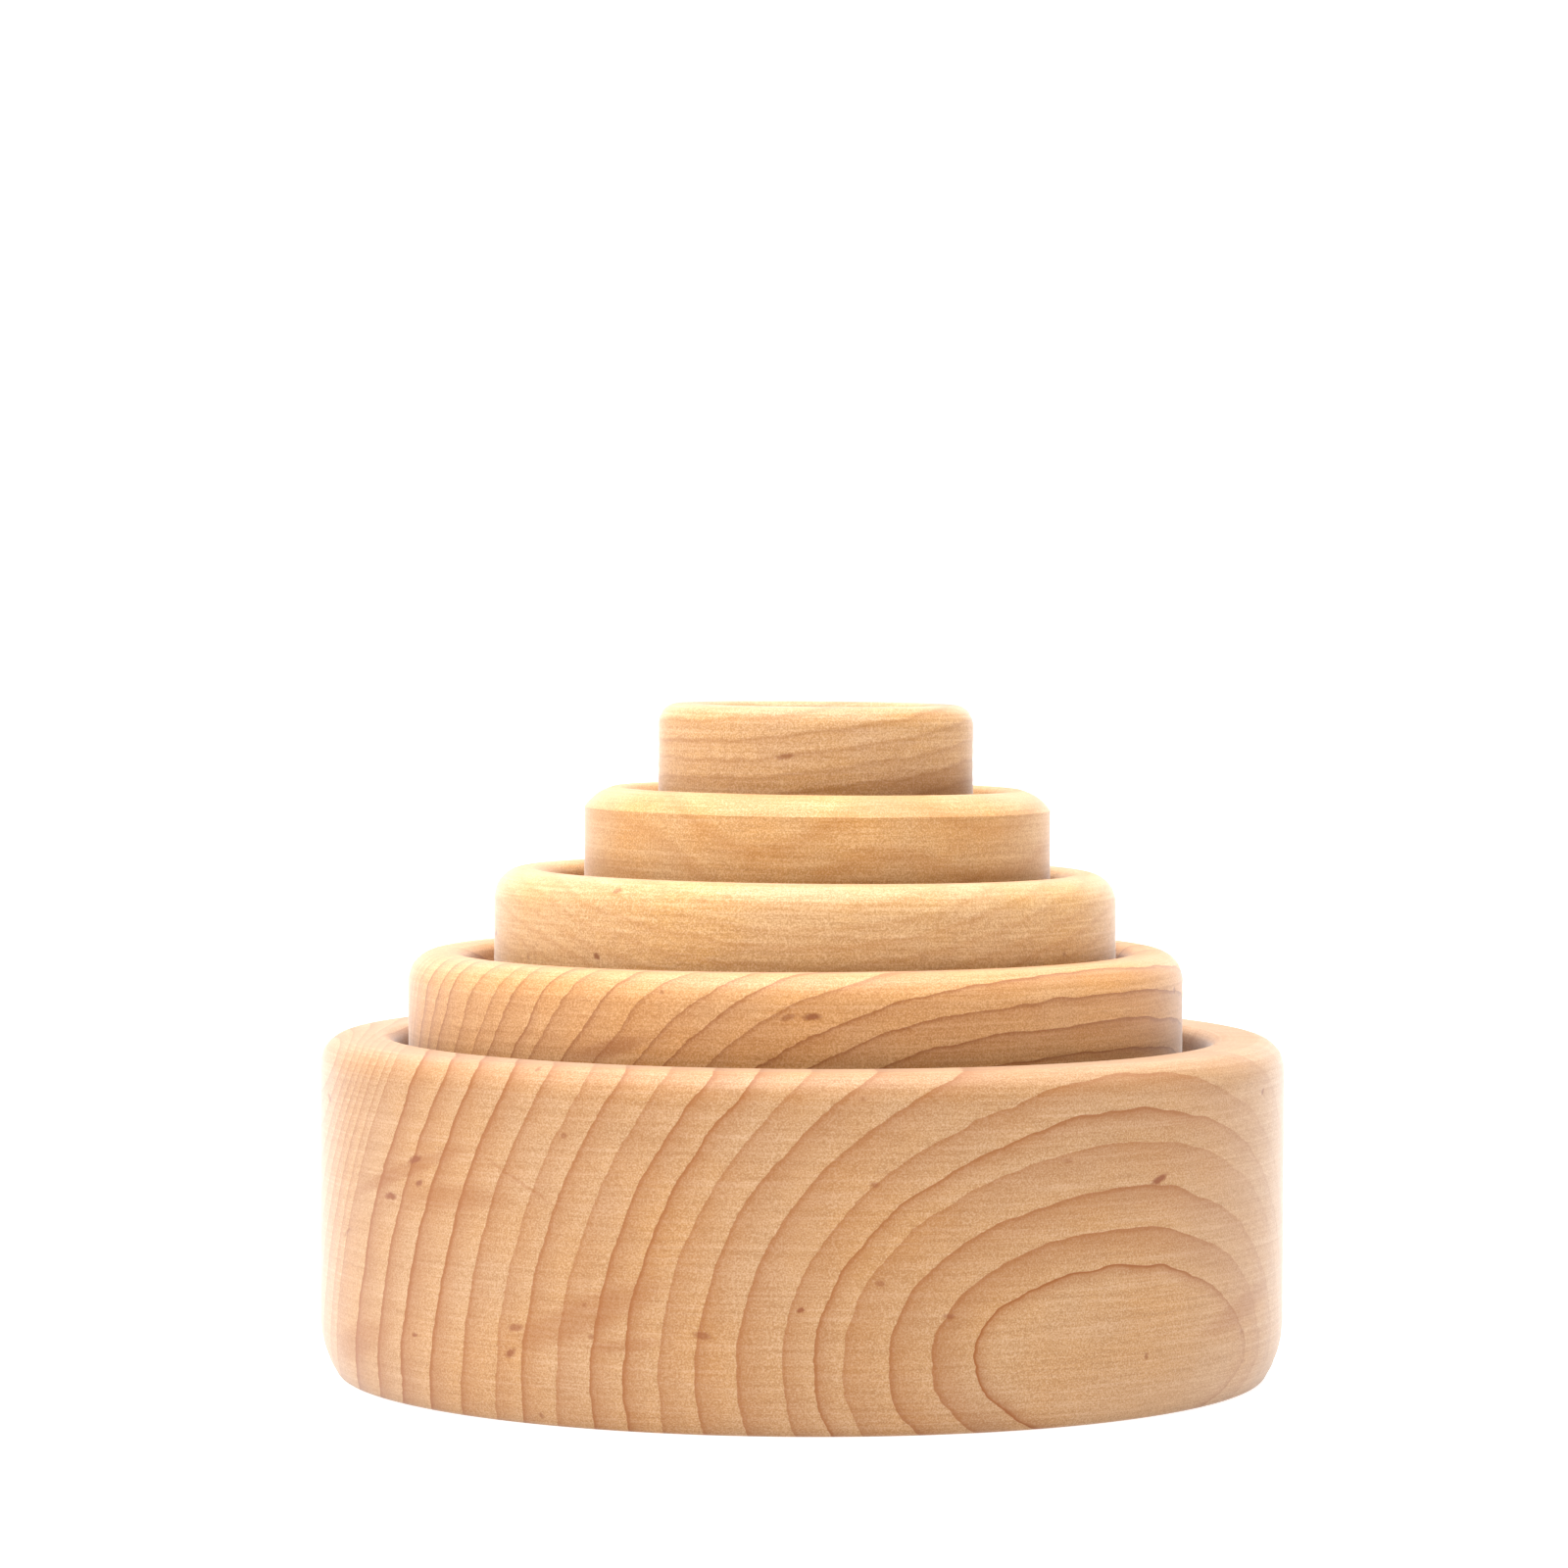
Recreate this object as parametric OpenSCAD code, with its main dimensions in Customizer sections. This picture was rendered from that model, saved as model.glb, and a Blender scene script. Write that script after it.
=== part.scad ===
// Five nesting bowls turned from solid wood, standing one inside the other as a stepped round tower.
// Origin: centre of the largest bowl's foot. +Z up, -Y is the front. Dimensions in mm.

/* [Largest bowl] */
// Outer diameter of the largest bowl
largest_d = 100; // [96:1:106]
// Its height, foot to rim
largest_h = 35.1; // [34:0.1:38]
// Its wall thickness
largest_wall = 7.6; // [7:0.1:8.2]
// Its floor thickness
largest_floor = 11; // [10:0.5:12]

/* [Large bowl] */
// Gap between the large bowl and the wall of the largest one
large_gap = 2.25; // [1.75:0.05:2.75]
// Height of the large bowl, foot to rim
large_h = 32.9; // [32:0.1:36]
// Its wall thickness
large_wall = 5.7; // [5.1:0.1:6.3]
// Its floor thickness
large_floor = 10.6; // [9.6:0.1:11.6]

/* [Middle bowl] */
// Gap between the middle bowl and the wall of the large one
middle_gap = 2.15; // [1.75:0.05:2.65]
// Height of the middle bowl, foot to rim
middle_h = 30.6; // [30:0.1:34]
// Its wall thickness
middle_wall = 5.1; // [4.6:0.1:5.7]
// Its floor thickness
middle_floor = 10.3; // [9.3:0.1:11.3]

/* [Small bowl] */
// Gap between the small bowl and the wall of the middle one
small_gap = 2.95; // [2.4:0.05:3.4]
// Height of the small bowl, foot to rim
small_h = 28.8; // [28:0.1:32]
// Its wall thickness
small_wall = 4.6; // [4.5:0.1:5.1]
// Its floor thickness
small_floor = 10.2; // [9:0.1:11]

/* [Smallest bowl] */
// Gap between the smallest bowl and the wall of the small one
smallest_gap = 3.35; // [2.85:0.05:3.75]
// Height of the smallest bowl, foot to rim
smallest_h = 27.3; // [26:0.1:31]
// Its wall thickness
smallest_wall = 4.8; // [4.2:0.1:5.2]
// Its floor thickness
smallest_floor = 8; // [7:0.1:10]

/* [Edges] */
// Rounding of the rims' outer edge
rim_round = 3; // [1.5:0.1:3.1]
// Rounding of the smallest bowl's outer rim edge
smallest_round = 2.1; // [1.5:0.1:2.6]
// Drop of the small bowl's crisp, bevelled rim
bevel_drop = 2.1; // [1.5:0.1:2.3]
// Width of that bevel
bevel_width = 3; // [2.6:0.1:3]
// Rounding of the rims' inner edge
mouth_round = 1.4; // [0.6:0.1:1.4]
// Height above each foot at which the wall starts to curve in
foot_rise = 6.3; // [5:0.1:7]
// Radius of that curve
foot_sweep = 11; // [9:0.5:13]

/* [Seating] */
// How far the large bowl sits to the right of the largest bowl's middle
large_sit = -0.8; // [-1:0.1:1]
// How far the middle bowl sits to the right in the large one
middle_sit = 1; // [-1:0.1:1]
// How far the small bowl sits to the right in the middle one
small_sit = 1.2; // [-1.5:0.1:1.5]
// How far the smallest bowl sits to the right in the small one
smallest_sit = -0.2; // [-1.5:0.1:1.5]

/* [Hidden] */
$fn = 120;
// flat of a bowl's floor left around the flat of the foot that stands on it
foot_margin = 0.3;
// fillet inside the smallest bowl, which holds nothing
smallest_fillet = 4;
// outer diameters: each bowl fills the one below less the gap all round
large_d = largest_d - 2 * (largest_wall + large_gap);
middle_d = large_d - 2 * (large_wall + middle_gap);
small_d = middle_d - 2 * (middle_wall + small_gap);
smallest_d = small_d - 2 * (small_wall + smallest_gap);
// foot heights: each bowl stands on the floor of the one below
large_z = largest_floor;
middle_z = large_z + large_floor;
small_z = middle_z + middle_floor;
smallest_z = small_z + small_floor;
// axes of the bowls, from that of the largest
large_x = large_sit;
middle_x = large_x + middle_sit;
small_x = middle_x + small_sit;
smallest_x = small_x + smallest_sit;
// how far the curve has come in where it meets the flat of the foot
foot_in = round(100 * (foot_sweep - sqrt(foot_sweep * foot_sweep - foot_rise * foot_rise))) / 100;

// Fillet of a floor that clears the foot standing on it, however far off centre
function floor_fillet(gap, sit) = foot_in + gap - abs(sit) - foot_margin;

// Half of a section that lies right of the axis, ready to be revolved
module right_half(r, h) {
    intersection() {
        children();
        square([r, h]);
    }
}

// Lower part of a blank, curved in towards the foot
module foot_blank(r, h) {
    square([r - foot_sweep, h / 2]);
    translate([r - foot_sweep, foot_rise]) circle(r = foot_sweep);
}

// Blank of a turned bowl with a rounded rim edge
module round_blank(r, h, edge) {
    right_half(r, h) union() {
        foot_blank(r, h);
        translate([0, foot_rise]) square([r, h - foot_rise - edge]);
        translate([0, h / 2]) square([r - edge, h / 2]);
        translate([r - edge, h - edge]) circle(r = edge);
    }
}

// Blank whose rim edge is a straight bevel with crisp corners
module bevel_blank(r, h) {
    right_half(r, h) union() {
        foot_blank(r, h);
        polygon([[0, foot_rise], [r, foot_rise], [r, h - bevel_drop], [r - bevel_width, h], [0, h]]);
    }
}

// Hollow of a bowl: straight wall, filleted floor, mouth opened out by the rounded inner edge
module hollow(r, h, bed, fillet) {
    translate([0, bed + fillet]) square([r, h - bed - fillet + 1]);
    translate([0, bed]) square([r - fillet, h - bed]);
    translate([r - fillet, bed + fillet]) intersection() {
        circle(r = fillet);
        translate([0, -fillet]) square([fillet, fillet]);
    }
    difference() {
        translate([r - 0.01, h - mouth_round]) square([mouth_round + 0.01, mouth_round + 1]);
        translate([r + mouth_round, h - mouth_round]) circle(r = mouth_round);
    }
}

// Revolve a section and set the bowl down at its place in the nest
module turned(x, z) {
    translate([x, 0, z]) rotate_extrude() children();
}

// Tan bowl that stands on its foot and holds the other four
module largest_bowl() {
    r = largest_d / 2;
    fillet = floor_fillet(large_gap, large_sit);
    color([0.88, 0.70, 0.50]) turned(0, 0) difference() {
        round_blank(r, largest_h, rim_round);
        hollow(r - largest_wall, largest_h, largest_floor, fillet);
    }
}

module large_bowl() {
    r = large_d / 2;
    fillet = floor_fillet(middle_gap, middle_sit);
    color([0.91, 0.73, 0.52]) turned(large_x, large_z) difference() {
        round_blank(r, large_h, rim_round);
        hollow(r - large_wall, large_h, large_floor, fillet);
    }
}

module middle_bowl() {
    r = middle_d / 2;
    fillet = floor_fillet(small_gap, small_sit);
    color([0.92, 0.74, 0.52]) turned(middle_x, middle_z) difference() {
        round_blank(r, middle_h, rim_round);
        hollow(r - middle_wall, middle_h, middle_floor, fillet);
    }
}

// Yellower bowl with the crisp, bevelled rim
module small_bowl() {
    r = small_d / 2;
    fillet = floor_fillet(smallest_gap, smallest_sit);
    color([0.92, 0.72, 0.44]) turned(small_x, small_z) difference() {
        bevel_blank(r, small_h);
        hollow(r - small_wall, small_h, small_floor, fillet);
    }
}

// Cup-like bowl at the top
module smallest_bowl() {
    r = smallest_d / 2;
    color([0.89, 0.69, 0.49]) turned(smallest_x, smallest_z) difference() {
        round_blank(r, smallest_h, smallest_round);
        hollow(r - smallest_wall, smallest_h, smallest_floor, smallest_fillet);
    }
}

largest_bowl();
large_bowl();
middle_bowl();
small_bowl();
smallest_bowl();
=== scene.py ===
import math
import random
from dataclasses import dataclass, field
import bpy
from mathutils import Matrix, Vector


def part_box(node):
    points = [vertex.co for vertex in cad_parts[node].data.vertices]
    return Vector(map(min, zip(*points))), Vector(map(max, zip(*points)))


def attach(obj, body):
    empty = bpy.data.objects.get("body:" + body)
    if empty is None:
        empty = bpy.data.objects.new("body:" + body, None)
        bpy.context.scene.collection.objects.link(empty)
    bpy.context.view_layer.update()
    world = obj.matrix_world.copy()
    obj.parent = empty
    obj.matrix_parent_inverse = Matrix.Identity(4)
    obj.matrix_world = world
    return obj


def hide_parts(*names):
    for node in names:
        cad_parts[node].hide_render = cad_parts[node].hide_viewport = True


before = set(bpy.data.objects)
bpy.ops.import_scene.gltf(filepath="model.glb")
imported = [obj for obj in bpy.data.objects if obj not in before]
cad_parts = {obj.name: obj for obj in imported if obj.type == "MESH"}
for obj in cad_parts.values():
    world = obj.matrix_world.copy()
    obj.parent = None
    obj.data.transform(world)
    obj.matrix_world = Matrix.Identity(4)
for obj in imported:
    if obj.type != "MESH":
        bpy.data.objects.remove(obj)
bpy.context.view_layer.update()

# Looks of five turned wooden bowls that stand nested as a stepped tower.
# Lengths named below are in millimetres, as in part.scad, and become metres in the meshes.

from types import SimpleNamespace

import bpy
import numpy as np
from mathutils import Matrix

MM = 0.001
SEGMENTS = 288          # around each bowl
FINE = 0.7              # spacing of rings of faces along the walls
COARSE = 1.6            # their spacing on the foot and the floor
FOOT_RISE = 6.3         # height above a foot at which the wall starts to curve in
FOOT_SWEEP = 11.0       # radius of that curve
FOOT_EDGE = 0.8         # rounding where it meets the flat of the foot
NEAR_AXIS = 0.01        # radius of the last ring of faces round the middle
BEVEL_CROWN = 1.0       # fullness of a bevel, which stands out by about a third of this
MID_HEIGHT = 15.0       # about half of a bowl's height, where leaning rings cross
ARCH_TILT = 0.28        # how much the far side's arched figure leans with height
ARCH_BOW = 0.012        # how fast it curves away to both sides
FLECK_COLOUR = (0.21, 0.052, 0.008)
RING_GAPS = (0.7, 1.3)          # narrowest and widest growth ring, as shares of the usual spacing
RING_STRENGTHS = (0.65, 1.25)   # faintest and darkest ring, as shares of the usual strength
HEART_RING = 1.4                # strength of the ring round the heart, as such a share
MARK_FOOT = 3.0                 # lowest place of a mark above the bowl's foot


@dataclass
class Mark:
    """A fleck, a scratch or a soft patch of darker wood on the outside of a wall."""
    facing: float        # degrees right of the front
    height: float        # above the bowl's foot
    length: float
    width: float
    slope: float = 0.0   # degrees, right end up
    strength: float = 0.7


@dataclass
class Wood:
    """How a bowl was cut from its plank: where the pith ran, and what its growth rings are like."""
    facing: float        # direction from the bowl's axis towards the pith, in degrees right of the front
    pith: float          # distance of the pith from the bowl's axis
    rise: float          # height of the pith above the bowl's foot
    rings: list          # (distance from the pith, strength) of each ring's late wood
    light: tuple         # colour between the rings
    dark: tuple          # colour of the late wood
    warm: tuple          # colour that light drifts towards here and there
    dip: float = 0.0     # how far the pith sinks per millimetre along it
    spread: float = 0.0  # how much wider the rings get away from the pith's nearest point
    skew: float = 0.0    # how much the rings lean along the pith
    bow: float = 0.0     # how fast the rings curve up to both sides, along the pith
    swell: float = 0.0   # height of the waves in the rings, along the pith
    swell_length: float = 1.0
    wander: float = 1.0  # slow bending of the rings
    band: float = 0.4    # depth of the soft dark band inside each late-wood line
    edge: float = 0.5    # depth of the line itself
    blur: float = 0.02   # softness of the line, as a share of a ring
    fibre: float = 0.18  # depth of the fibres' streaks
    calm: float = 1.0    # what is left of the rings' strength well past the pith's nearest point
    far: tuple = ()      # distances from the pith between which arched figure sets in, on the far side
    seed: float = 0.0
    marks: list = field(default_factory=list)
    scratches: list = field(default_factory=list)   # soft darker patches as well as scratches


@dataclass
class Bowl:
    name: str
    wall: float
    floor: float
    rim: float           # rounding of the rim's outer edge, or the drop of its bevel
    wood: Wood
    bevel: float = 0.0   # width of the bevel, where the rim has one
    mouth: float = 1.4
    fillet: float = 4.0
    lean: float = 0.0    # how far the rim is out of level with the foot, left side up, in degrees


def even_rings(first, last, spacing, strength=0.8):
    """Rings at an even spacing, alternately a little stronger and weaker."""
    count = int((last - first) / spacing)
    return [(first + i * spacing, strength * (1.0, 0.7, 0.85)[i % 3]) for i in range(count + 1)]


def grown_rings(heart, last, spacing, strength, seed):
    """Rings of uneven width and strength, as good and poor summers leave them, round a plain heart."""
    draw = random.Random(seed)
    rings = [(0.0, 0.0), (heart - spacing / 2, 0.0), (heart, strength * HEART_RING)]
    while rings[-1][0] < last:
        gap = spacing * draw.uniform(*RING_GAPS)
        rings.append((rings[-1][0] + gap, strength * draw.uniform(*RING_STRENGTHS)))
    return rings


def scattered(count, top, seed, lengths, widths, slopes, strengths):
    """Marks strewn all round a wall, from its foot to near its top."""
    draw = random.Random(seed)
    return [
        Mark(draw.uniform(-180.0, 180.0), draw.uniform(MARK_FOOT, top), draw.uniform(*lengths),
             draw.uniform(*widths), draw.uniform(*slopes), draw.uniform(*strengths))
        for _ in range(count)]


def flecks(count, top, seed):
    """Short dark flecks, most of them lying nearly level."""
    return scattered(count, top, seed, (0.7, 3.2), (0.3, 0.75), (-12.0, 30.0), (0.5, 0.95))


def long_scratches(count, top, seed, slope):
    """Long faint scratches that run much the same way."""
    return scattered(count, top, seed, (7.0, 20.0), (0.2, 0.3), (slope - 4.0, slope + 4.0), (0.2, 0.35))


def dark_patches(count, top, seed):
    """Soft stretches of darker wood."""
    return scattered(count, top, seed, (8.0, 24.0), (1.2, 4.0), (-4.0, 24.0), (0.3, 0.42))


LARGEST_WOOD = Wood(
    facing=42.0, pith=53.0, rise=6.0, dip=0.09, spread=0.01, skew=0.004, seed=1.7, wander=0.25,
    light=(0.432, 0.246, 0.113), dark=(0.255, 0.074, 0.008), warm=(0.447, 0.228, 0.078),
    band=0.78, edge=0.3, calm=0.35, far=(90.0, 104.0),
    rings=grown_rings(heart=10.0, last=110.0, spacing=4.2, strength=0.72, seed=3),
    marks=flecks(30, 31.0, seed=5),
    scratches=long_scratches(5, 26.0, seed=8, slope=-25.0) + dark_patches(8, 24.0, seed=2))

LARGE_WOOD = Wood(
    facing=49.0, pith=46.0, rise=0.0, skew=0.0015, seed=4.1, wander=0.2, far=(72.0, 86.0),
    light=(0.55, 0.297, 0.118), dark=(0.235, 0.058, 0.006), warm=(0.57, 0.275, 0.078), band=0.55, edge=0.42,
    rings=grown_rings(heart=17.0, last=86.0, spacing=2.9, strength=0.65, seed=6),
    marks=flecks(20, 31.0, seed=9),
    scratches=long_scratches(2, 30.0, seed=4, slope=20.0) + dark_patches(6, 30.0, seed=7))

MIDDLE_WOOD = Wood(
    facing=0.0, pith=0.0, rise=-85.0, seed=7.3, wander=0.8, bow=0.005,
    light=(0.575, 0.347, 0.156), dark=(0.38, 0.145, 0.022), warm=(0.59, 0.322, 0.098),
    band=0.42, edge=0.16, blur=0.22, fibre=0.36, rings=even_rings(80.0, 121.0, 1.9, 0.65),
    marks=flecks(16, 29.0, seed=12))

SMALL_WOOD = Wood(
    facing=0.0, pith=0.0, rise=-150.0, seed=11.9, wander=0.5, bow=0.006, swell=2.6, swell_length=26.0,
    light=(0.555, 0.322, 0.134), dark=(0.36, 0.125, 0.012), warm=(0.585, 0.275, 0.06),
    band=0.55, edge=0.08, blur=0.30, fibre=0.22, rings=even_rings(148.0, 190.0, 5.0),
    marks=flecks(6, 26.0, seed=13), scratches=dark_patches(9, 28.0, seed=14))

SMALLEST_WOOD = Wood(
    facing=0.0, pith=0.0, rise=-110.0, dip=-0.12, seed=16.3, wander=0.3,
    light=(0.545, 0.32, 0.149), dark=(0.3, 0.115, 0.022), warm=(0.57, 0.31, 0.105),
    band=0.48, edge=0.25, blur=0.16, fibre=0.34, rings=even_rings(100.0, 142.0, 2.0),
    marks=flecks(14, 26.0, seed=15), scratches=dark_patches(4, 24.0, seed=18))

BOWLS = [
    Bowl("largest", wall=7.6, floor=11.0, rim=3.0, fillet=3.13, lean=0.05, wood=LARGEST_WOOD),
    Bowl("large", wall=5.7, floor=10.6, rim=3.0, fillet=2.83, lean=-0.25, wood=LARGE_WOOD),
    Bowl("middle", wall=5.1, floor=10.3, rim=3.0, fillet=3.43, lean=0.4, wood=MIDDLE_WOOD),
    Bowl("small", wall=4.6, floor=10.2, rim=2.1, bevel=3.0, fillet=4.83, lean=0.35, wood=SMALL_WOOD),
    Bowl("smallest", wall=4.8, floor=8.0, rim=2.1, lean=0.2, wood=SMALLEST_WOOD),
]


# ---------------------------------------------------------------- meshes

def line(start, end, step):
    """Points from start up to but not including end, at most step apart."""
    count = max(1, math.ceil(math.dist(start, end) / step))
    return [(start[0] + (end[0] - start[0]) * i / count,
             start[1] + (end[1] - start[1]) * i / count) for i in range(count)]


def arc(centre, radius, start, end, count=12):
    """Points along an arc between two angles in degrees, both ends included."""
    angles = np.radians(np.linspace(start, end, count + 1))
    return [(centre[0] + radius * math.cos(a), centre[1] + radius * math.sin(a)) for a in angles]


def rim_outline(bowl, radius, height):
    """Outer edge of the rim: a quarter round, or a slightly crowned bevel with a crisp lower corner."""
    if not bowl.bevel:
        return arc((radius - bowl.rim, height - bowl.rim), bowl.rim, 0, 90)
    share = np.linspace(0, 1, 9)
    crown = BEVEL_CROWN * share * (1 - share)
    return [(radius - bowl.bevel * s + c, height - bowl.rim * (1 - s) + c) for s, c in zip(share, crown)]


def foot_outline(radius):
    """From the flat of the foot round its edge and up the curve to the straight of the wall."""
    sweep, rise, edge = FOOT_SWEEP, FOOT_RISE, FOOT_EDGE
    turn = math.degrees(math.asin((rise - edge) / (sweep - edge)))
    corner = radius - sweep + (sweep - edge) * math.cos(math.radians(turn))
    return arc((corner, edge), edge, -90, -turn, 6) + arc((radius - sweep, rise), sweep, -turn, 0, 12)[1:]


def outline(bowl, radius, height):
    """Section of a bowl from the middle of its foot, round the wall and rim, to the middle of its floor."""
    inner = radius - bowl.wall
    rim = rim_outline(bowl, radius, height)
    mouth = arc((inner + bowl.mouth, height - bowl.mouth), bowl.mouth, 90, 180, 8)
    fillet = arc((inner - bowl.fillet, bowl.floor + bowl.fillet), bowl.fillet, 0, -90, 10)
    foot = foot_outline(radius)
    points = line((NEAR_AXIS, 0), foot[0], COARSE) + foot
    points += line(points[-1], rim[0], FINE)[1:] + rim
    points += line(points[-1], mouth[0], FINE)[1:] + mouth
    points += line(points[-1], fillet[0], FINE)[1:] + fillet
    middle = (NEAR_AXIS, bowl.floor)
    return points + line(points[-1], middle, COARSE)[1:] + [middle]


def hand_finish(r, z, angle, bowl, radius, height):
    """Small faults of a turned and sanded bowl: faint tool ridges, a slight oval and a rim out of level."""
    seed = bowl.wood.seed
    ridges = 0.012 * np.sin(z * 4.1 + seed) + 0.010 * np.sin(z * 9.7 + 2 * seed)
    oval = 0.07 * np.cos(2 * angle + seed) + 0.03 * np.cos(3 * angle - seed)
    r = r + (ridges + oval * z / height) * np.clip(r / radius * 2 - 0.6, 0, 1)
    share = np.clip(z / height, 0, 1) ** 2
    z = z - math.tan(math.radians(bowl.lean)) * r * np.sin(angle) * share
    return r, z


def turned_mesh(name, bowl, radius, height, x, z0):
    """A lathe-turned solid of the bowl's outline, in metres in the row frame."""
    section = np.array(outline(bowl, radius, height))
    angle = np.arange(SEGMENTS) * 2 * math.pi / SEGMENTS
    r = np.repeat(section[:, :1], SEGMENTS, axis=1)
    z = np.repeat(section[:, 1:], SEGMENTS, axis=1)
    r, z = hand_finish(r, z, angle[None, :], bowl, radius, height)
    points = np.stack([x + r * np.sin(angle), -r * np.cos(angle), z0 + z], axis=-1).reshape(-1, 3) * MM
    rings = len(section)
    faces = []
    for k in range(rings - 1):
        a, b = k * SEGMENTS, (k + 1) * SEGMENTS
        faces += [(a + i, a + (i + 1) % SEGMENTS, b + (i + 1) % SEGMENTS, b + i) for i in range(SEGMENTS)]
    faces.append(tuple(range(SEGMENTS - 1, -1, -1)))
    faces.append(tuple((rings - 1) * SEGMENTS + i for i in range(SEGMENTS)))
    mesh = bpy.data.meshes.new(name)
    mesh.from_pydata(points.tolist(), [], faces)
    mesh.polygons.foreach_set("use_smooth", [True] * len(faces))
    mesh.update()
    if bowl.bevel:
        crease(mesh, section, radius)
    return mesh


def crease(mesh, section, radius):
    """Keep the lower corner of the bevel crisp: the last ring of the wall at full radius."""
    ring = max(i for i, point in enumerate(section) if point[0] > radius - 0.001)
    first, last = ring * SEGMENTS, (ring + 1) * SEGMENTS
    for edge in mesh.edges:
        edge.use_edge_sharp = all(first <= v < last for v in edge.vertices)


# ---------------------------------------------------------------- shader sums

class Graph:
    """Shader nodes, written as short sums. An input is a socket, a number or a tuple."""

    def __init__(self, tree):
        self.nodes = tree.nodes
        self.links = tree.links
        self.nodes.clear()

    def add(self, kind, **settings):
        node = self.nodes.new(kind)
        for key, value in settings.items():
            setattr(node, key, value)
        return node

    def feed(self, socket, value):
        if isinstance(value, bpy.types.NodeSocket):
            self.links.new(value, socket)
        elif value is not None:
            socket.default_value = value

    def math(self, operation, a, b=None, c=None, clamp=False):
        node = self.add("ShaderNodeMath", operation=operation, use_clamp=clamp)
        for socket, value in zip(node.inputs, (a, b, c)):
            self.feed(socket, value)
        return node.outputs[0]

    def total(self, *values):
        result = values[0]
        for value in values[1:]:
            result = self.math("ADD", result, value)
        return result

    def vector(self, operation, a, b=None):
        node = self.add("ShaderNodeVectorMath", operation=operation)
        self.feed(node.inputs[0], a)
        self.feed(node.inputs[1], b)
        return node.outputs["Value" if operation in ("DOT_PRODUCT", "LENGTH") else "Vector"]

    def join(self, x, y, z):
        node = self.add("ShaderNodeCombineXYZ")
        for socket, value in zip(node.inputs, (x, y, z)):
            self.feed(socket, value)
        return node.outputs[0]

    def split(self, value):
        node = self.add("ShaderNodeSeparateXYZ")
        self.feed(node.inputs[0], value)
        return node.outputs

    def hypot(self, a, b):
        return self.math("SQRT", self.math("ADD", self.math("MULTIPLY", a, a), self.math("MULTIPLY", b, b)))

    def noise(self, place, size, detail=2.0, rough=0.5):
        """Smooth noise from about 0 to 1, with features of about that size."""
        node = self.add("ShaderNodeTexNoise", noise_dimensions="3D")
        self.feed(node.inputs["Vector"], place)
        node.inputs["Scale"].default_value = 1.0 / size
        node.inputs["Detail"].default_value = detail
        node.inputs["Roughness"].default_value = rough
        return node.outputs["Factor" if "Factor" in node.outputs else "Fac"]

    def swing(self, place, size, amount, detail=2.0, rough=0.5):
        """Noise centred on nought, reaching about plus and minus amount."""
        return self.math("MULTIPLY_ADD", self.noise(place, size, detail, rough), 2 * amount, -amount)

    def span(self, value, low, high, out_low=0.0, out_high=1.0, smooth=False, clamp=True):
        kind = "SMOOTHSTEP" if smooth else "LINEAR"
        node = self.add("ShaderNodeMapRange", interpolation_type=kind, clamp=clamp)
        for socket, v in zip(node.inputs, (value, low, high, out_low, out_high)):
            self.feed(socket, v)
        return node.outputs[0]

    def mix(self, share, a, b, blend="MIX"):
        node = self.add("ShaderNodeMix", data_type="RGBA", blend_type=blend)
        self.feed(node.inputs[0], share)
        for socket, value in ((node.inputs[6], a), (node.inputs[7], b)):
            self.feed(socket, (*value, 1.0) if isinstance(value, tuple) else value)
        return node.outputs[2]

    def curve(self, value, points, carry_on=False):
        """A line from point to point of (value, result). Past its ends it stays level, or carries on."""
        xs, ys = [p[0] for p in points], [p[1] for p in points]
        low, span, floor, rise = xs[0], xs[-1] - xs[0], min(ys), max(ys) - min(ys)
        node = self.add("ShaderNodeFloatCurve")
        handles = node.mapping.curves[0].points
        for i, (x, y) in enumerate(zip(xs, ys)):
            spot = ((x - low) / span, (y - floor) / rise)
            point = handles[0] if i == 0 else handles[-1] if i == len(xs) - 1 else handles.new(*spot)
            point.location = spot
        for point in handles:
            point.handle_type = "VECTOR"
        node.mapping.extend = "EXTRAPOLATED"
        node.mapping.update()
        self.feed(node.inputs["Value"], self.span(value, low, low + span, clamp=not carry_on))
        return self.math("MULTIPLY_ADD", node.outputs[0], rise, floor)


# ---------------------------------------------------------------- wood

def wood_place(g, wood, x, z0, radius):
    """Where a point of the wood lies: in the bowl, on its wall and from the pith."""
    coords = g.add("ShaderNodeTexCoord").outputs["Object"]
    place = g.vector("SUBTRACT", g.vector("MULTIPLY", coords, (1000.0, 1000.0, 1000.0)), (x, 0.0, z0))
    px, py, pz = g.split(place)
    turn = math.radians(wood.facing)
    across = g.vector("DOT_PRODUCT", place, (math.sin(turn), -math.cos(turn), 0.0))
    run = g.vector("DOT_PRODUCT", place, (math.cos(turn), math.sin(turn), 0.0))
    angle = g.math("ARCTAN2", px, g.math("MULTIPLY", py, -1.0))
    return SimpleNamespace(
        shifted=g.vector("ADD", place, (wood.seed * 37.0, wood.seed * 11.0, wood.seed * 23.0)),
        x=px, z=pz, radius=g.hypot(px, py), run=run,
        skin=g.join(g.math("MULTIPLY", angle, radius), pz, 0.0),
        across=g.math("SUBTRACT", across, wood.pith),
        up=g.math("MULTIPLY_ADD", run, wood.dip, g.math("SUBTRACT", pz, wood.rise)))


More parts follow.
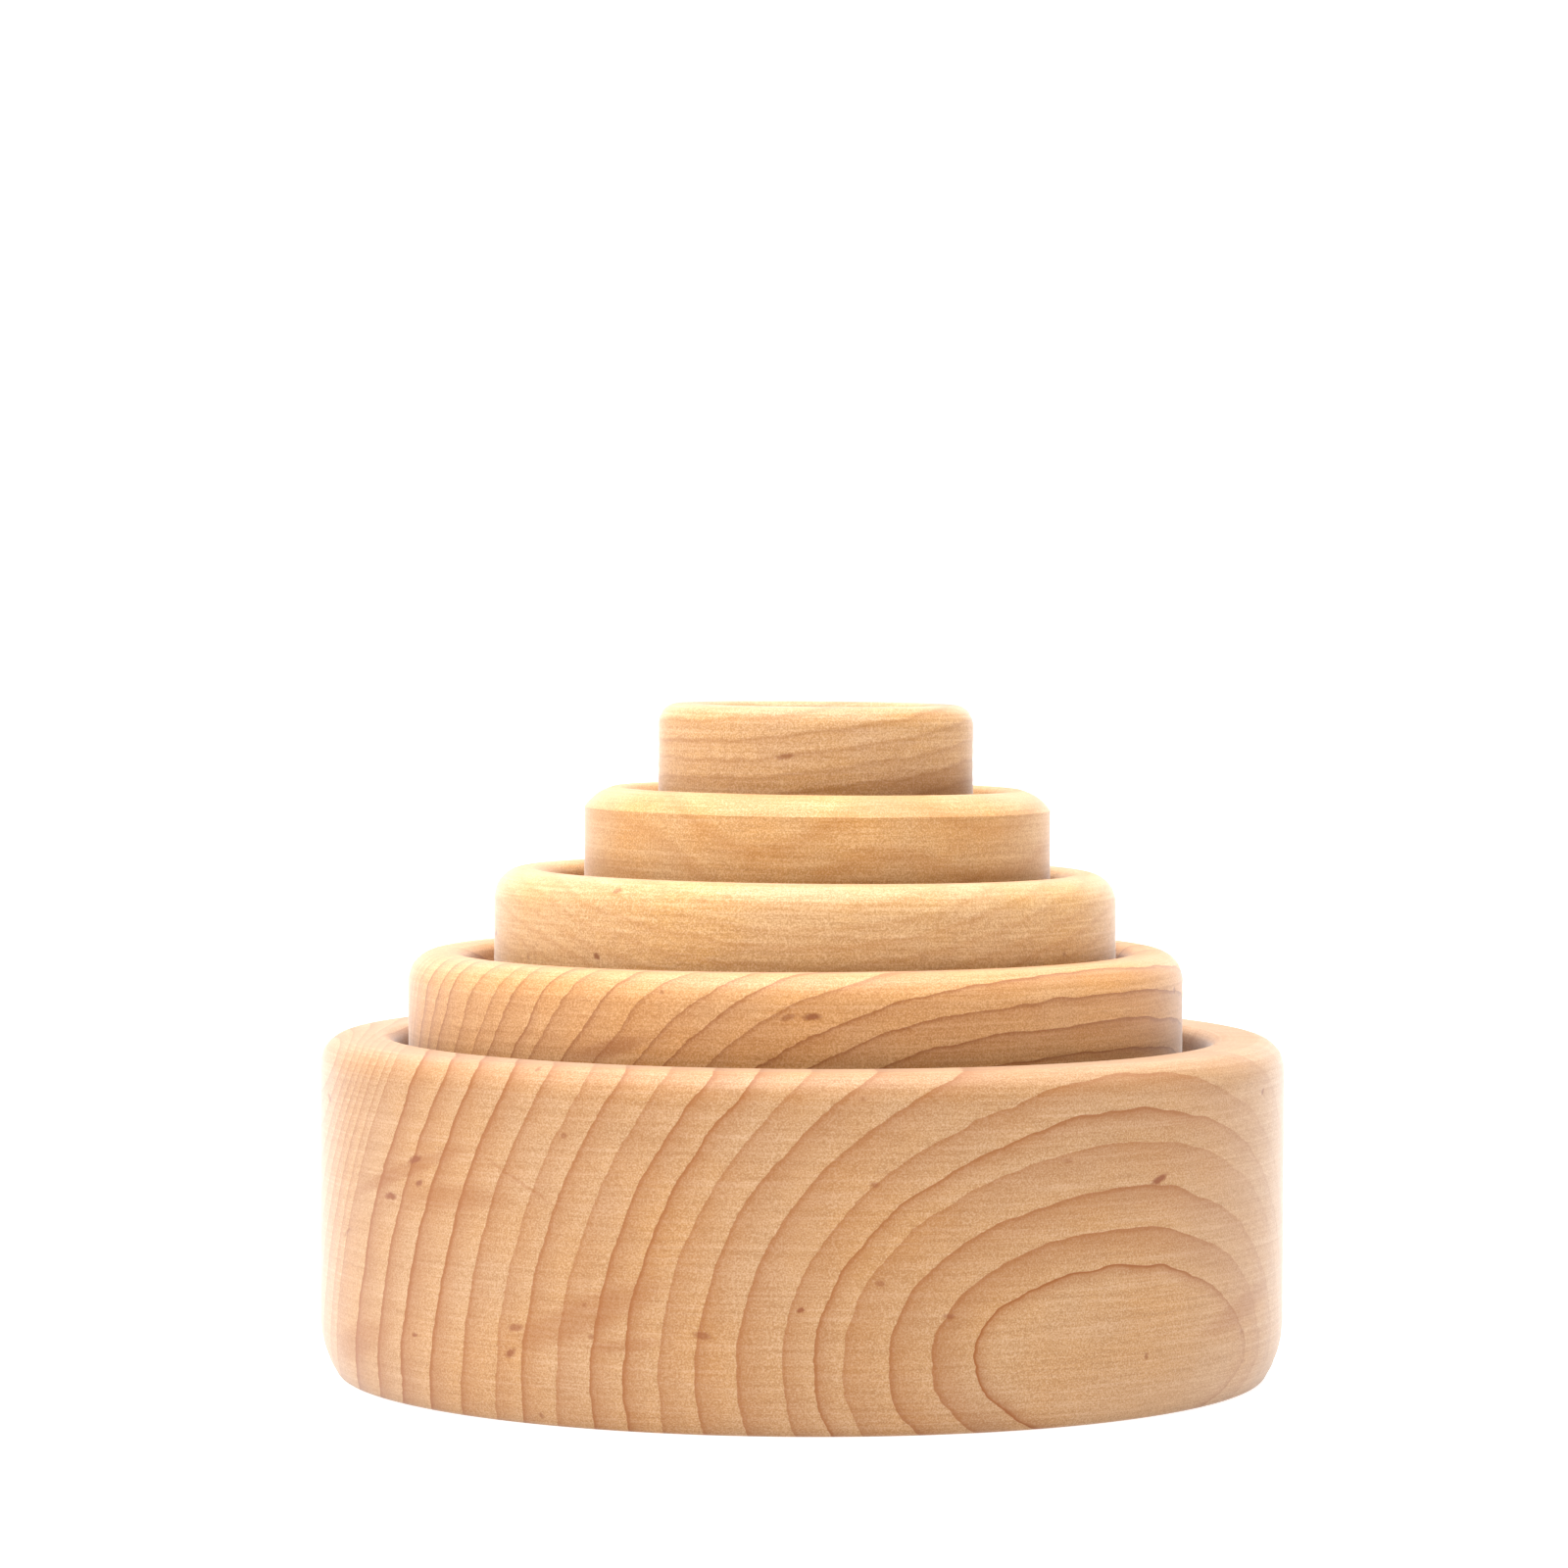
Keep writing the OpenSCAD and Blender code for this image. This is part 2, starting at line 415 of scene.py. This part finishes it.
def pith_distance(g, wood, p):
    """Distance from the pith, with the bends that the tree's growth gave its rings."""
    depth = g.hypot(p.across, p.up)
    if wood.spread:
        depth = g.math("ADD", depth, g.math("MULTIPLY", g.math("MULTIPLY", p.run, p.run), wood.spread))
    if wood.skew:
        lift = g.math("MULTIPLY", g.math("SUBTRACT", p.z, MID_HEIGHT), p.run)
        depth = g.math("SUBTRACT", depth, g.math("MULTIPLY", lift, wood.skew))
    if wood.bow:
        depth = g.math("SUBTRACT", depth, g.math("MULTIPLY", g.math("MULTIPLY", p.run, p.run), wood.bow))
    if wood.swell:
        turn = g.math("MULTIPLY", p.run, 2 * math.pi / wood.swell_length)
        depth = g.math("SUBTRACT", depth, g.math("MULTIPLY", g.math("SINE", turn), wood.swell))
    if wood.far:
        tilt = g.math("MULTIPLY", g.math("SUBTRACT", p.z, MID_HEIGHT), ARCH_TILT)
        arch = g.math("MULTIPLY_ADD", g.math("MULTIPLY", p.run, p.run), ARCH_BOW, tilt)
        depth = g.math("MULTIPLY_ADD", g.span(depth, *wood.far, smooth=True), arch, depth)
    slow = g.swing(p.shifted, 30.0, wood.wander * 2, 1.0)
    wavy = g.swing(p.shifted, 5.0, 0.5, 1.0)
    ragged = g.swing(g.join(g.math("MULTIPLY", p.run, 0.12), p.across, p.up), 0.8, 0.22, 2.0)
    return g.total(depth, slow, wavy, ragged)


def late_wood(g, wood, p, depth):
    """How dark the late wood is: a soft band that ends in a thin line at each ring's outer edge."""
    count = g.curve(depth, [(place, float(i)) for i, (place, _) in enumerate(wood.rings)], carry_on=True)
    ring = g.math("FRACT", count)
    strength = g.curve(depth, wood.rings)
    if wood.calm < 1.0:
        strength = g.math("MULTIPLY", strength, g.span(p.run, 0.0, 22.0, 1.0, wood.calm, smooth=True))
    band = g.math("MULTIPLY", g.math("POWER", ring, 1.4), wood.band)
    line_in = g.span(ring, 0.84 - wood.blur, 0.985 - wood.blur, 0.0, wood.edge, smooth=True)
    fade = g.span(ring, 1.0 - wood.blur, 1.0, 1.0, 0.0)
    late = g.math("MULTIPLY", g.math("ADD", band, line_in), fade)
    return g.math("MULTIPLY", late, strength, clamp=True)


def mark_depth(g, p, marks, radius):
    """How dark the marks on the outside of the wall are, each an ellipse with a ragged edge."""
    rough = g.join(g.swing(p.shifted, 0.5, 0.25, 1.0), g.swing(p.shifted, 0.6, 0.2, 1.0), 0.0)
    skin = g.vector("ADD", p.skin, rough)
    result = None
    for mark in marks:
        node = g.add("ShaderNodeMapping", vector_type="TEXTURE")
        g.feed(node.inputs["Vector"], skin)
        node.inputs["Location"].default_value = (math.radians(mark.facing) * radius, mark.height, 0.0)
        node.inputs["Rotation"].default_value = (0.0, 0.0, math.radians(mark.slope))
        node.inputs["Scale"].default_value = (mark.length / 2, mark.width / 2 + 0.1, 1.0)
        away = g.vector("LENGTH", node.outputs[0])
        dark = g.span(away, 1.15, 0.45, 0.0, mark.strength, smooth=True)
        result = dark if result is None else g.math("MAXIMUM", result, dark)
    outside = g.span(p.radius, radius - 3.5, radius - 2.5)
    return g.math("MULTIPLY", result, outside)


def pith_flecks(g, p):
    """Small brown dashes along the grain, here and there all through the wood."""
    cell = g.add("ShaderNodeTexVoronoi", feature="F1")
    g.feed(cell.inputs["Vector"], g.join(
        g.math("MULTIPLY", p.run, 0.11), g.math("MULTIPLY", p.across, 0.3), g.math("MULTIPLY", p.up, 0.3)))
    cell.inputs["Scale"].default_value = 1.0
    chosen = g.math("GREATER_THAN", g.split(cell.outputs["Color"])[0], 0.86)
    return g.math("MULTIPLY", g.span(cell.outputs["Distance"], 0.13, 0.05, 0.0, 0.55, smooth=True), chosen)


def grain(g, p):
    """Fibres along the pith, fine lathe and sanding lines around the axis, and pores."""
    fibre_place = g.join(g.math("MULTIPLY", p.run, 0.07), p.across, p.up)
    lathe_place = g.join(p.radius, g.math("MULTIPLY", p.x, 0.03), p.z)
    return SimpleNamespace(
        fibres=g.noise(fibre_place, 0.5, 3.0, 0.65),
        streaks=g.noise(fibre_place, 2.2, 2.0, 0.5),
        lathe=g.noise(lathe_place, 0.33, 2.0, 0.7),
        pores=g.noise(p.shifted, 0.17, 1.0, 0.5))


def tinted(colour, tint):
    return tuple(c * k for c, k in zip(colour, tint))


def wood_colour(g, wood, p, late, marks, scratches, fine):
    drift = g.noise(p.shifted, 14.0, 3.0, 0.6)
    colour = g.mix(g.span(drift, 0.38, 0.66), wood.light, wood.warm)
    layers = (
        (g.span(fine.streaks, 0.35, 0.75, 0.0, 0.35), (0.84, 0.74, 0.60)),
        (g.span(fine.fibres, 0.40, 0.70, 0.0, wood.fibre), (0.55, 0.42, 0.30)),
        (g.span(fine.lathe, 0.48, 0.70, 0.0, 0.42), (1.25, 1.4, 1.8)),
        (g.span(fine.lathe, 0.30, 0.46, 0.35, 0.0), (0.68, 0.55, 0.42)),
        (g.span(fine.pores, 0.30, 0.50, 0.50, 0.0), (0.62, 0.48, 0.32)),
        (g.span(fine.pores, 0.50, 0.70, 0.0, 0.45), (1.35, 1.6, 2.2)))
    for share, tint in layers:
        colour = g.mix(share, colour, tinted(wood.light, tint))
    colour = g.mix(late, colour, wood.dark)
    if scratches is not None:
        colour = g.mix(scratches, colour, wood.dark)
    return g.mix(marks, colour, FLECK_COLOUR)


def wood_bump(g, late, marks, fine):
    relief = g.math("ADD", g.math("MULTIPLY", fine.fibres, 0.5), g.math("MULTIPLY", fine.lathe, 0.6))
    relief = g.math("SUBTRACT", relief, g.math("MULTIPLY", late, 0.5))
    relief = g.math("SUBTRACT", relief, g.math("MULTIPLY", marks, 0.9))
    bump = g.add("ShaderNodeBump")
    bump.inputs["Strength"].default_value = 0.25
    bump.inputs["Distance"].default_value = 0.0001
    g.feed(bump.inputs["Height"], relief)
    return bump.outputs[0]


def wood_material(bowl, x, z0, radius):
    """Solid alder: the grain runs through the bowl, so every surface shows its own cut of it."""
    wood = bowl.wood
    material = bpy.data.materials.new(bowl.name + "_alder")
    material.use_nodes = True
    g = Graph(material.node_tree)
    p = wood_place(g, wood, x, z0, radius)
    late = late_wood(g, wood, p, pith_distance(g, wood, p))
    fine = grain(g, p)
    marks = g.math("MAXIMUM", mark_depth(g, p, wood.marks, radius), pith_flecks(g, p))
    scratches = mark_depth(g, p, wood.scratches, radius) if wood.scratches else None
    shader = g.add("ShaderNodeBsdfPrincipled")
    g.feed(shader.inputs["Base Color"], wood_colour(g, wood, p, late, marks, scratches, fine))
    g.feed(shader.inputs["Roughness"], g.span(fine.fibres, 0.2, 0.8, 0.50, 0.62))
    g.feed(shader.inputs["Normal"], wood_bump(g, late, marks, fine))
    shader.inputs["Specular IOR Level"].default_value = 0.4
    grazing = g.add("ShaderNodeLayerWeight").outputs["Facing"]
    g.feed(shader.inputs["Sheen Weight"], g.span(grazing, 0.15, 0.80, 0.12, 0.42))
    shader.inputs["Sheen Roughness"].default_value = 0.35
    g.feed(g.add("ShaderNodeOutputMaterial").inputs["Surface"], shader.outputs[0])
    return material


# ---------------------------------------------------------------- pieces

def make_bowl(bowl):
    """Turn one bowl where its CAD node stands and put it on the node's body."""
    low, high = (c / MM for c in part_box(bowl.name + "_bowl"))
    radius, height = (high.x - low.x) / 2, high.z - low.z
    x, z0 = (low.x + high.x) / 2, low.z
    name = bowl.name + "_turned"
    piece = bpy.data.objects.new(name, turned_mesh(name, bowl, radius, height, x, z0))
    bpy.context.scene.collection.objects.link(piece)
    piece.data.materials.append(wood_material(bowl, x, z0, radius))
    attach(piece, bowl.name)
    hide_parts(bowl.name + "_bowl")
    return piece


# ---------------------------------------------------------------- studio

def floor_material():
    """A pale table lit softly from within, so that it stays white up to the bowls' feet."""
    material = bpy.data.materials.new("pale_floor")
    material.use_nodes = True
    g = Graph(material.node_tree)
    shader = g.add("ShaderNodeBsdfPrincipled")
    tone = g.noise(g.add("ShaderNodeTexCoord").outputs["Object"], 0.4, 1.0)
    g.feed(shader.inputs["Base Color"], g.mix(tone, (0.49, 0.49, 0.49), (0.51, 0.51, 0.51)))
    shader.inputs["Roughness"].default_value = 0.9
    shader.inputs["Specular IOR Level"].default_value = 0.1
    shader.inputs["Emission Color"].default_value = (1.0, 1.0, 1.0, 1.0)
    shader.inputs["Emission Strength"].default_value = 0.85
    g.feed(g.add("ShaderNodeOutputMaterial").inputs["Surface"], shader.outputs[0])
    return material


def make_floor():
    size = 3.0
    mesh = bpy.data.meshes.new("floor")
    corners = [(-size, -size, 0), (size, -size, 0), (size, size, 0), (-size, size, 0)]
    mesh.from_pydata(corners, [], [(0, 1, 2, 3)])
    floor = bpy.data.objects.new("floor", mesh)
    bpy.context.scene.collection.objects.link(floor)
    mesh.materials.append(floor_material())


def make_light():
    """A light tent: bright overhead and behind, dim in front, with soft panels at left, right and front."""
    world = bpy.data.worlds.new("light_tent")
    world.use_nodes = True
    g = Graph(world.node_tree)
    way = g.add("ShaderNodeTexCoord").outputs["Generated"]
    x, y, z = g.split(way)
    front = g.vector("DOT_PRODUCT", way, (-0.15, -0.45, 0.88))
    # in turn: straight overhead, high at the front, the back wall, the back of the ceiling,
    # a panel at the left front, and both side walls
    level = g.total(
        g.math("MULTIPLY_ADD", g.math("POWER", g.math("MAXIMUM", z, 0.0), 12.0), 13.0, 0.06),
        g.math("MULTIPLY", g.math("POWER", g.math("MAXIMUM", front, 0.0), 3.0), 0.7),
        g.span(y, 0.45, 0.93, 0.0, 1.02, smooth=True),
        g.span(g.vector("DOT_PRODUCT", way, (0.0, 0.6, 0.8)), 0.55, 0.98, 0.0, 1.0, smooth=True),
        g.span(g.vector("DOT_PRODUCT", way, (-0.84, -0.28, 0.46)), 0.5, 1.0, 0.0, 1.3, smooth=True),
        g.span(g.math("ABSOLUTE", x), 0.6, 0.98, 0.0, 0.5, smooth=True))
    level = g.math("MULTIPLY", level, g.span(x, -1.0, 1.0, 1.14, 0.84))
    background = g.add("ShaderNodeBackground")
    background.inputs["Color"].default_value = (1.0, 1.0, 1.0, 1.0)
    g.feed(background.inputs["Strength"], level)
    g.feed(g.add("ShaderNodeOutputWorld").inputs["Surface"], background.outputs[0])
    bpy.context.scene.world = world


def make_camera():
    """A long lens a little above the tower, looking slightly down."""
    distance, height, sideways = 600.0, 82.1, -2.07
    pitch, roll, lens = 2.007, 0.26, 132.65
    data = bpy.data.cameras.new("camera")
    data.lens = lens
    data.sensor_width = 36.0
    data.clip_start = 0.01
    camera = bpy.data.objects.new("camera", data)
    bpy.context.scene.collection.objects.link(camera)
    turn = Matrix.Rotation(math.radians(90 - pitch), 4, "X") @ Matrix.Rotation(math.radians(roll), 4, "Z")
    camera.matrix_world = Matrix.Translation((sideways * MM, -distance * MM, height * MM)) @ turn
    bpy.context.scene.camera = camera


def set_tone():
    view = bpy.context.scene.view_settings
    view.view_transform = "Standard"
    view.look = "None"
    view.exposure = 0.0


make_camera()
make_floor()
make_light()
set_tone()
for one in BOWLS:
    make_bowl(one)
